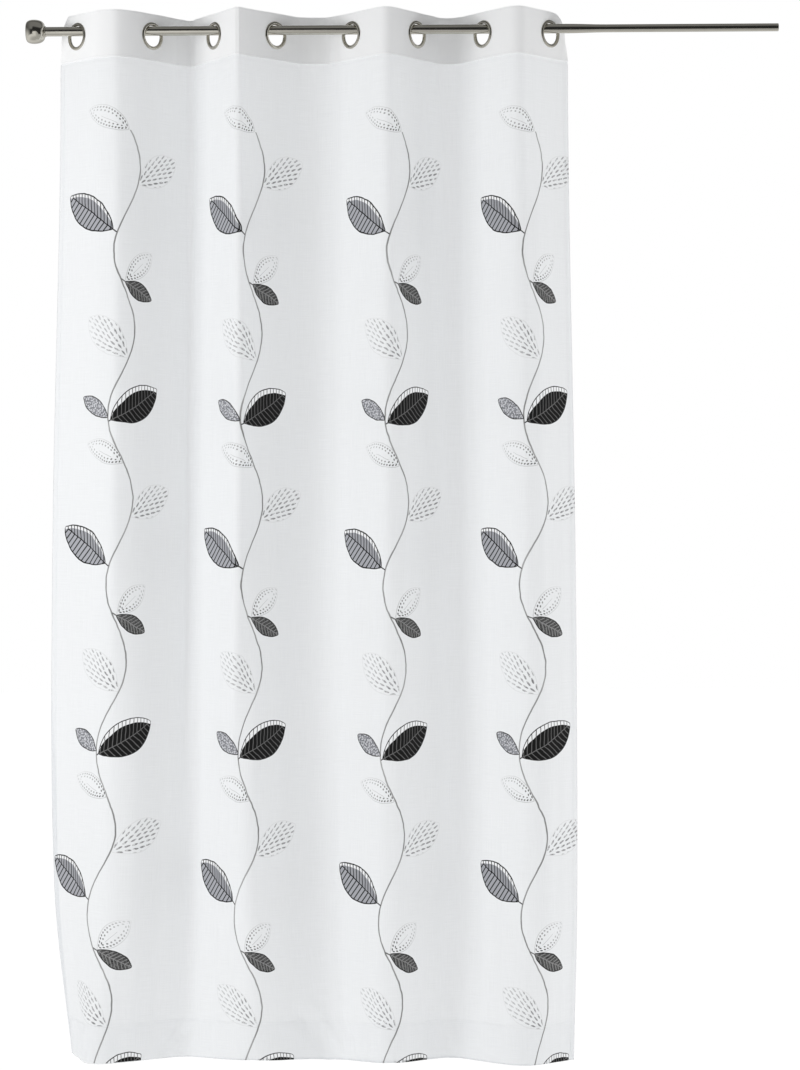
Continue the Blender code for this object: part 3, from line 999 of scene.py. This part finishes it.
def vineTouches(piece, flatSize):
    # which faces of the sheet the vine's ink can reach, judged at their middles on the flat cloth
    corners = np.zeros(len(piece.data.loops) * 2, np.float32)
    piece.data.uv_layers["OFBake"].uv.foreach_get("vector", corners)
    u, v = corners.reshape(-1, 4, 2).mean(axis=1).T
    place = (u * flatSize["width"] + flatSize["left"]) / mm
    drop = ((1 - v) * flatSize["height"] + flatSize["top"]) / mm
    half = vine["columnPitch"] / 2
    x = (place - vine["firstAxis"] + half) % vine["columnPitch"] - half
    t = (drop - vine["cellTop"]) % vine["repeat"] + vine["cellTop"]
    middle = vine["mean"]
    for swing, count, right in vine["swings"]:
        middle = middle + swing * np.cos(2 * math.pi * count * (t - right) / vine["repeat"])
    touched = abs(x - middle) < vine["reach"]
    for leaf in leaves:
        base = np.array((leaf["baseX"], leaf["baseT"]), float)
        way = np.array((leaf["tipX"], leaf["tipT"])) - base
        length = np.linalg.norm(way)
        away = np.stack((x, t), axis=1) - base
        along, across = away @ way / length, abs(away @ (way[1], -way[0])) / length
        beside = across < max(leaf["above"], leaf["below"]) + vine["reach"]
        touched |= beside & (abs(along - length / 2) < length / 2 + leaf["stalk"] + vine["reach"])
    foot = cloth["drop"] / mm
    return touched & (drop > vine["cellTop"] - vine["reach"]) & (drop < foot + vine["reach"])


# finishes

voile = {
    "colour": (0.885, 0.902, 0.918),
    "uneven": 0.045,  # how far the threads' colour strays from it
    "roughness": 0.95,
    "cover": 0.80,  # how much of the light the threads stop
    "slub": 0.05,
    "through": 0.28,  # how much of the light that the threads send on comes out behind
    "hemThinner": 0.62,  # light bounces between the two layers of a hem, so little is lost
    "whiteInk": 0.38,  # how much more comes out behind the white ink
    "threadsPerMetre": 1150,
}


def threadPattern(start, place, drop):
    # place and drop in mm: slubs along and across, and the fine grid of threads
    across = start.node("CombineXYZ", None, {0: place * 0.9, 1: drop * 0.018})
    down = start.node("CombineXYZ", None, {0: place * 0.02, 1: drop * 1.1})
    slubs = (across.noise(1.0, 2.0) + down.noise(1.0, 2.0)) * 0.5
    turn = 2 * math.pi * voile["threadsPerMetre"] / 1000
    grid = (place * turn).sine() * (drop * turn).sine()
    return slubs, grid


def flatMap(start, flatSize):
    where = start.node("UVMap", {"uv_map": "OFBake"})
    u, v = where.part(0), where.part(1)
    place = u * (flatSize["width"] / mm) + flatSize["left"] / mm
    drop = (1 - v) * (flatSize["height"] / mm) + flatSize["top"] / mm
    return place, drop


def voileFinish(flatSize, printed):
    finish, start = newFinish("white voile with a leaf vine" if printed else "white voile")
    place, drop = flatMap(start, flatSize)
    slubs, grid = threadPattern(start, place, drop)
    ground = slubs.between(shade(voile["colour"], 1 - voile["uneven"]),
                           shade(voile["colour"], 1 + voile["uneven"]))
    bump = start.node("Bump", None, {"Strength": 0.2, "Distance": 0.0002, "Height": grid})
    width, foot = cloth["width"] / mm, cloth["drop"] / mm
    hems = (drop - foot - 1).inside(2).most((abs(place - width / 2) - width / 2 - 1).inside(2))
    alpha = (slubs - 0.5) * voile["slub"] * 2 - hems * voile["hemThinner"] + voile["cover"]
    colour, through = ground, voile["through"]
    if printed:
        colour, cover, white = printVine(start, place, drop, ground)
        alpha = alpha.most(cover * 0.996)
        through = (1 - cover) * (white * voile["whiteInk"] + voile["through"])
    shader = start.node("BsdfPrincipled", None, {
        "Base Color": colour, "Roughness": voile["roughness"], "Alpha": alpha, "Normal": bump,
        "Specular IOR Level": 0.15, "Sheen Weight": 0.04, "Sheen Roughness": 0.6})
    glow = start.node("BsdfTranslucent", None, {"Color": (*voile["colour"], 1), "Normal": bump})
    clear = start.node("BsdfTransparent")
    glowing = start.node("MixShader", None, {0: alpha, 1: clear, 2: glow})
    both = start.node("MixShader", None, {0: through, 1: shader, 2: glowing})
    finishSurface(start, both)
    return finish


heading = {
    "colour": (0.965, 0.975, 0.985),
    "uneven": 0.035,
    "roughness": 0.92,
    "through": 0.04,
}


def headingFinish(flatSize):
    finish, start = newFinish("white heading cloth")
    place, drop = flatMap(start, flatSize)
    slubs, grid = threadPattern(start, place, drop)
    colour = slubs.between(shade(heading["colour"], 1 - heading["uneven"]),
                           shade(heading["colour"], 1 + heading["uneven"]))
    bump = start.node("Bump", None, {"Strength": 0.3, "Distance": 0.0004,
                                     "Height": slubs * 0.6 + grid * 0.3})
    shader = start.node("BsdfPrincipled", None, {
        "Base Color": colour, "Roughness": heading["roughness"], "Normal": bump,
        "Specular IOR Level": 0.15, "Sheen Weight": 0.04, "Sheen Roughness": 0.6})
    glow = start.node("BsdfTranslucent", None, {"Color": (*heading["colour"], 1), "Normal": bump})
    both = start.node("MixShader", None, {0: heading["through"], 1: shader, 2: glow})
    finishSurface(start, both)
    return finish


thread = {"colour": (0.84, 0.85, 0.87), "roughness": 0.7}


def threadFinish():
    finish, start = newFinish("white sewing thread")
    where = start.node("TexCoord", None, None, out=3)
    twist = where.noise(2600.0, 2.0, "3D")
    colour = twist.between(shade(thread["colour"], 0.9), shade(thread["colour"]))
    shader = start.node("BsdfPrincipled", None, {
        "Base Color": colour, "Roughness": thread["roughness"], "Sheen Weight": 0.2})
    finishSurface(start, shader)
    return finish


metal = {
    "colour": (0.55, 0.53, 0.47),
    "worn": (0.61, 0.59, 0.525),
    "rodRoughness": 0.14,
    "ringRoughness": 0.10,
}


def metalFinish(name, roughness, brushed):
    # satin nickel: fine brush marks, faint clouding and rubbed spots
    finish, start = newFinish(name)
    where = start.node("TexCoord", None, None, out=3)
    longWays = start.node("Mapping", None, {"Vector": where, "Scale": brushed})
    brush = longWays.noise(1.0, 4.0, "3D")
    cloud = where.noise(38.0, 2.0, "3D")
    rubbed = cloud.scaled(1.6, -0.3, clamp=True)
    colour = rubbed.between(shade(metal["colour"]), shade(metal["worn"]))
    rough = roughness * (0.8 + brush * 0.25 + cloud * 0.15)
    bump = start.node("Bump", None, {"Strength": 0.12, "Distance": 0.00006, "Height": brush})
    shader = start.node("BsdfPrincipled", None, {
        "Base Color": colour, "Metallic": 1.0, "Roughness": rough, "Normal": bump})
    finishSurface(start, shader)
    return finish


# putting it together

voileSheet, voileFlat = buildVoile()
print("voile hung:", len(voileSheet.data.polygons), "faces")
headingCloth, headingFlat = buildHeading()
print("heading hung:", len(headingCloth.data.polygons), "faces")

rings = [buildEyelet(index) for index in range(len(eyelets))]
rodTube = buildRod()
knobCushion = buildKnob()
print("rod, knob and", len(rings), "eyelets turned")

bandFoot = cloth["headingHeight"]
bandEnd, bandFar = sewing["bandSeamEnds"], cloth["width"] - sewing["bandSeamEnds"]
onBand = cloth["bandThick"] / 2 + sewing["thread"]
headingSeams = stitchMesh("headingStitches", [
    (bandEnd, level, bandFar, level, onBand)
    for level in (bandFoot - sewing["fromBandFoot"], sewing["fromBandTop"])])

footEnd, footFar = sewing["footSeamEnds"], cloth["width"] - sewing["footSeamEnds"]
footLevel = cloth["drop"] - cloth["footHem"] + sewing["fromFootHem"]
sidePlace = cloth["sideHem"] - sewing["fromSideHem"]
sideTop, sideFoot = bandFoot + sewing["sideSeamEnds"][0], cloth["drop"] - sewing["sideSeamEnds"][1]
hemSeams = stitchMesh("hemStitches", [
    (footEnd, footLevel, footFar, footLevel, sewing["thread"]),
    *[(place, sideTop, place, sideFoot, sewing["thread"])
      for place in (sidePlace, cloth["width"] - sidePlace)]])
print("seams sewn:", len(headingSeams.data.polygons) + len(hemSeams.data.polygons), "faces")

thready = threadFinish()
ringMetal = metalFinish("polished nickel", metal["ringRoughness"], (900, 900, 900))
rodMetal = metalFinish("satin nickel", metal["rodRoughness"], (60, 2600, 2600))

dressing = [
    (voileSheet, voileFinish(voileFlat, True), "voile", ["voile_panel"]),
    (headingCloth, headingFinish(headingFlat), "heading", ["heading_band"]),
    (headingSeams, thready, "heading", []),
    (hemSeams, thready, "voile", []),
    (rodTube, rodMetal, "metal", ["rod"]),
    (knobCushion, rodMetal, "metal", ["end_knob"]),
]
dressing += [(ring, ringMetal, "metal", ["eyelet_%d" % (i + 1)]) for i, ring in enumerate(rings)]
for piece, finish, slot, nodes in dressing:
    piece.data.materials.clear()
    piece.data.materials.append(finish)
    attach(piece, "root")
    if nodes:
        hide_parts(*nodes)

voileSheet.data.materials.append(voileFinish(voileFlat, False))
plain = np.where(vineTouches(voileSheet, voileFlat), 0, 1).astype(np.int32)
voileSheet.data.polygons.foreach_set("material_index", plain)
voileSheet.data.update()
print("print laid; faces without it:", int(plain.sum()))

print("finishes on:", len(voileSheet.active_material.node_tree.nodes), "nodes in the voile's")


# floor, light and camera

studio = {
    "floorHeight": -2.15,
    "floorRadius": 14.0,
    "floorColour": (0.12, 0.12, 0.12),
    "floorGlow": 0.94,
    "backdrop": 1.0,
    "room": 0.35,
}


def buildFloor():
    disc = bmesh.new()
    bmesh.ops.create_circle(disc, cap_ends=True, segments=96, radius=studio["floorRadius"])
    mesh = bpy.data.meshes.new("floor")
    disc.to_mesh(mesh)
    disc.free()
    floor = bpy.data.objects.new("floor", mesh)
    floor.location = (0, 0, studio["floorHeight"])
    floor.visible_glossy = False
    bpy.context.scene.collection.objects.link(floor)
    finish, start = newFinish("pale floor")
    shader = start.node("BsdfPrincipled", None, {
        "Base Color": (*studio["floorColour"], 1), "Roughness": 0.9, "Specular IOR Level": 0.1,
        "Emission Color": (1, 1, 1, 1), "Emission Strength": studio["floorGlow"]})
    finishSurface(start, shader)
    mesh.materials.append(finish)


def buildRoom():
    # a pale room, bright behind the curtain
    room = bpy.data.worlds.new("room")
    room.use_nodes = True
    room.node_tree.nodes.clear()
    start = Tone(room.node_tree)
    way = start.node("TexCoord", None, None)
    behind = ((way.part(1) - 0.30) * 2.2).held()
    behind = behind * (studio["backdrop"] - studio["room"]) + studio["room"]
    light = start.node("Background", None, {"Color": behind, "Strength": 1.0})
    start.node("OutputWorld", None, {"Surface": light})
    bpy.context.scene.world = room


# a tent of cards round the rod that only the metal mirrors: its levels, and how high the foot
# of its dark strip lies at the left and how far it falls towards the right
tent = {
    "radius": 2.0,
    "behind": 0.60,
    "lowSides": 0.90,
    "highSides": 0.12,
    "low": 0.56,
    "leftPatch": 0.40,
    "high": 0.25,
    "strip": 0.03,
    "stripTop": 0.60,
    "stripFoot": -0.06,
    "stripFalls": 0.52,
    "knobDip": 0.36,  # how much lower the strip lies for the knob
}


def buildTent():
    ball = bmesh.new()
    bmesh.ops.create_uvsphere(ball, u_segments=48, v_segments=24, radius=tent["radius"])
    mesh = bpy.data.meshes.new("cardTent")
    ball.to_mesh(mesh)
    ball.free()
    cards = bpy.data.objects.new("cardTent", mesh)
    for kind in ("camera", "diffuse", "transmission", "volume_scatter", "shadow"):
        setattr(cards, "visible_" + kind, False)
    bpy.context.scene.collection.objects.link(cards)
    finish, start = newFinish("cards")
    where = start.node("TexCoord", None, None, out=3)
    x, y, z = [where.part(axis) / tent["radius"] for axis in range(3)]
    front = (3.0 - abs(x) * 3.2).held() * (1.0 - y * 3).held()
    dip = (-0.503 - x).inside(0.012) * tent["knobDip"]
    foot = tent["stripFoot"] - dip - ((x + 0.16) * 3.0).held() * tent["stripFalls"]
    under = (foot - z).inside(0.08)
    strip = (1 - under) * (tent["stripTop"] - dip - z).inside(0.16)
    patch = (-0.22 - x).inside(0.16) * (z + 0.72).inside(0.25) * tent["leftPatch"]
    level = under * (patch + (tent["low"] - tent["high"])) + tent["high"]
    level = level * (1 - strip) + strip * tent["strip"]
    around = ((0.3 - z) * 1.6).held() * (tent["lowSides"] - tent["highSides"]) + tent["highSides"]
    bright = level * front + (1 - front) * around
    behind = ((y - 0.30) * 2.2).held() * ((0.85 - z) * 4).held()
    bright = bright * (1 - behind) + behind * tent["behind"]
    shader = start.node("BsdfPrincipled", None, {
        "Base Color": (0, 0, 0, 1), "Roughness": 1.0, "Specular IOR Level": 0.0,
        "Emission Color": bright, "Emission Strength": 1.0})
    finishSurface(start, shader)
    mesh.materials.append(finish)
    finish.cycles.emission_sampling = "NONE"


# each softbox: degrees to the left of the front, height, how far off and watts
softboxes = [
    ("keySoftbox", 57, -0.58, 2.9, 31.0),
    ("fillSoftbox", -85, -1.10, 2.6, 12.0),
    ("edgeSoftbox", -98, -0.95, 2.0, 2.5),
]
softboxSize = (1.2, 1.6)
curtainMiddle = -0.19


def buildSoftbox(name, turn, height, reach, power):
    box = bpy.data.lights.new(name, "AREA")
    box.shape = "RECTANGLE"
    box.size, box.size_y = softboxSize
    box.energy = power
    lamp = bpy.data.objects.new(name, box)
    way = Vector((-math.sin(math.radians(turn)), -math.cos(math.radians(turn)), 0))
    lamp.location = Vector((curtainMiddle, 0, height)) + way * reach
    lamp.rotation_euler = (-way).to_track_quat("-Z", "Y").to_euler()
    lamp.visible_camera = False
    lamp.visible_glossy = False
    bpy.context.scene.collection.objects.link(lamp)


camera = {
    "aim": (-0.0065, 0.0, -1.026),
    "distance": 5.4,
    "heightSeen": 2.1721,
    "turn": 0.9,
    "tilt": 0.18,
}


def buildCamera():
    lens = bpy.data.cameras.new("camera")
    lens.sensor_width = 36
    lens.lens = 36 * camera["distance"] / camera["heightSeen"]
    lens.clip_end = 200
    view = bpy.data.objects.new("camera", lens)
    turn = Matrix.Rotation(math.radians(camera["turn"]), 4, "Z")
    level = turn @ Matrix.Rotation(math.pi / 2, 4, "X")
    place = Vector(camera["aim"]) + turn @ Vector((0, -camera["distance"], 0))
    view.matrix_world = (Matrix.Translation(place) @ level
                         @ Matrix.Rotation(-math.radians(camera["tilt"]), 4, "Z"))
    bpy.context.scene.collection.objects.link(view)
    bpy.context.scene.camera = view


buildFloor()
buildRoom()
buildTent()
for row in softboxes:
    buildSoftbox(*row)
buildCamera()
bpy.context.scene.view_settings.view_transform = "Standard"
print("studio ready")
